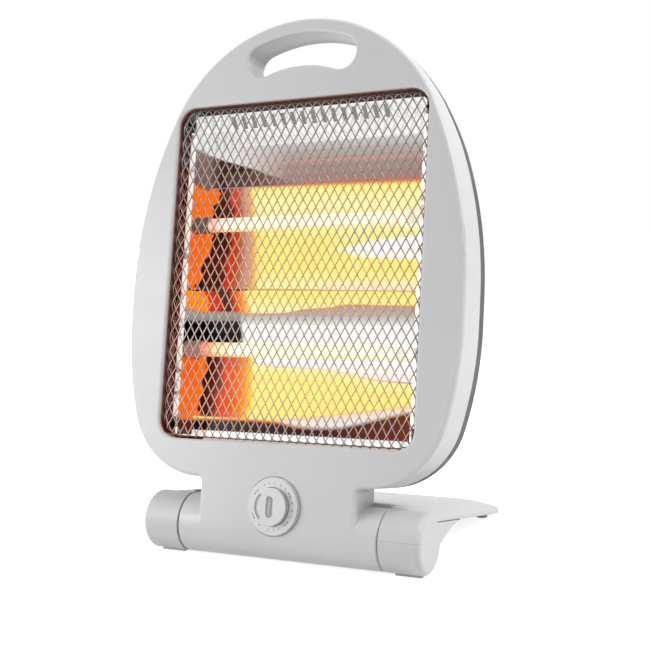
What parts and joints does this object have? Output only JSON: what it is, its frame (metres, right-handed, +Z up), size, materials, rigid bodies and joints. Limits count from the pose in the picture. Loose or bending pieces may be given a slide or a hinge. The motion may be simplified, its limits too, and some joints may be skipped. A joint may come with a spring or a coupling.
{
  "type": "quartz heater",
  "caption": "Portable quartz heater: egg-shaped housing with a mesh grille over twin tubes and a reflector, rotary control, carry slot and a folding stand on a barrel hinge.",
  "frame": {"origin": "on the floor, under the middle of the bounding box", "axes": "+Z up, -Y the way the grille faces, +X to the right as seen from the front"},
  "size_m": [0.25, 0.1758, 0.3631],
  "materials": {
    "shell_white": "satin-gloss off-white moulded plastic",
    "rear_grey": "dark grey moulded plastic",
    "stand_white": "gloss white moulded plastic",
    "grille_chrome": "bright plated steel wire",
    "reflector_bright": "bright anodised sheet",
    "plate_bright": "bright sheet",
    "quartz": "milky quartz glass, lit",
    "element_wire": "resistance wire",
    "tube_ceramic": "matt steatite",
    "dial_white": "gloss white plastic",
    "knob_white": "gloss white plastic",
    "shaft_steel": "turned steel",
    "switch_black": "black moulded plastic",
    "cutout_metal": "pressed aluminium",
    "terminal_cream": "cream moulded plastic",
    "bush_grey": "grey acetal",
    "gland_black": "black rubber",
    "screw_steel": "zinc-plated steel",
    "foot_rubber": "dark grey rubber"
  },
  "bodies": {
    "heater": {"front_shell": "shell_white", "rear_shell": "rear_grey", "barrel_cover": "shell_white", "grille": "grille_chrome", "reflector": "reflector_bright", "left_end_plate": "plate_bright", "right_end_plate": "plate_bright", "left_hinge_bush": "bush_grey", "right_hinge_bush": "bush_grey", "upper_quartz_tube": "quartz", "lower_quartz_tube": "quartz", "upper_heating_element": "element_wire", "lower_heating_element": "element_wire", "upper_left_ceramic": "tube_ceramic", "upper_right_ceramic": "tube_ceramic", "lower_left_ceramic": "tube_ceramic", "lower_right_ceramic": "tube_ceramic", "dial_ring": "dial_white", "rotary_switch": "switch_black", "thermal_cutout": "cutout_metal", "tip_over_switch": "switch_black", "terminal_block": "terminal_cream", "cord_gland": "gland_black", "rear_screws": "screw_steel"},
    "stand": {"stand_plate": "stand_white", "left_cap_cover": "stand_white", "right_cap_cover": "stand_white", "front_feet": "foot_rubber", "rear_feet": "foot_rubber"},
    "knob": {"control_knob": "knob_white", "switch_shaft": "shaft_steel"}
  },
  "joints": [
    {"name": "stand_fold", "type": "hinge", "parent": "heater", "child": "stand", "pos_m": [0, -0.06299, 0.021], "axis": [-1, 0, 0], "range_deg": [0, 90]},
    {"name": "knob_turn", "type": "hinge", "parent": "heater", "child": "knob", "pos_m": [0, -0.07885, 0.04135], "axis": [0, -0.9748, 0.2229], "range_deg": [-180, 0]}
  ]
}
